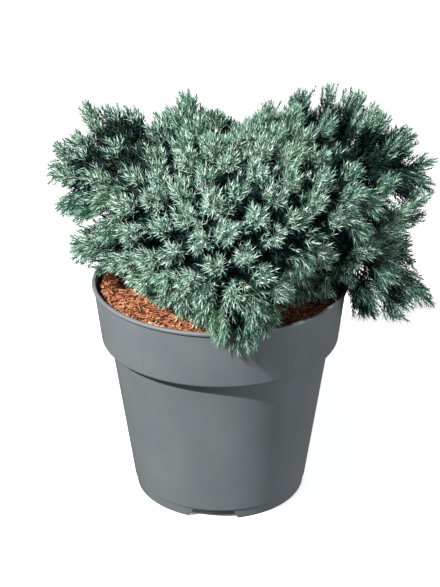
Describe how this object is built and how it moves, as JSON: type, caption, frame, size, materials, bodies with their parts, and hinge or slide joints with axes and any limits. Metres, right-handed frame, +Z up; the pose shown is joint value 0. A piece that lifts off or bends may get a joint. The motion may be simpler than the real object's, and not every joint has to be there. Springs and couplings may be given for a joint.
{
  "type": "potted blue star juniper",
  "caption": "Low, dense, mounded blue-green juniper shrub with short pointed needles, growing in a round tapered nursery pot with a wide collar and bark mulch.",
  "frame": {"origin": "on the ground, on the pot's axis, in the middle of its standing pad", "axes": "+Z up along the pot's axis, -Y towards the side that the picture shows, +X to the right in the picture"},
  "size_m": [0.4262, 0.3346, 0.4463],
  "materials": {
    "pot_plastic": "matte moulded plastic, mid grey",
    "potting_soil": "dark moist potting mix",
    "bark_mulch": "rough shredded bark, orange brown",
    "bark": "thin flaking bark, red brown",
    "needles": "waxy blue-green needles with pale bands"
  },
  "bodies": {
    "root": {"pot": "pot_plastic", "root_ball": "potting_soil", "bark_mulch": "bark_mulch", "trunk": "bark", "bough_skirt_1": "bark", "foliage_skirt_1": "needles", "bough_skirt_2": "bark", "foliage_skirt_2": "needles", "bough_skirt_3": "bark", "foliage_skirt_3": "needles", "bough_skirt_4": "bark", "foliage_skirt_4": "needles", "bough_skirt_5": "bark", "foliage_skirt_5": "needles", "bough_skirt_6": "bark", "foliage_skirt_6": "needles", "bough_skirt_7": "bark", "foliage_skirt_7": "needles", "bough_skirt_8": "bark", "foliage_skirt_8": "needles", "bough_skirt_9": "bark", "foliage_skirt_9": "needles", "bough_shoulder_1": "bark", "foliage_shoulder_1": "needles", "bough_shoulder_2": "bark", "foliage_shoulder_2": "needles", "bough_shoulder_3": "bark", "foliage_shoulder_3": "needles", "bough_shoulder_4": "bark", "foliage_shoulder_4": "needles", "bough_shoulder_5": "bark", "foliage_shoulder_5": "needles", "bough_shoulder_6": "bark", "foliage_shoulder_6": "needles", "bough_shoulder_7": "bark", "foliage_shoulder_7": "needles", "bough_shoulder_8": "bark", "foliage_shoulder_8": "needles", "bough_top_1": "bark", "foliage_top_1": "needles", "bough_top_2": "bark", "foliage_top_2": "needles", "bough_top_3": "bark", "foliage_top_3": "needles", "bough_top_4": "bark", "foliage_top_4": "needles", "bough_top_5": "bark", "foliage_top_5": "needles"}
  },
  "joints": []
}
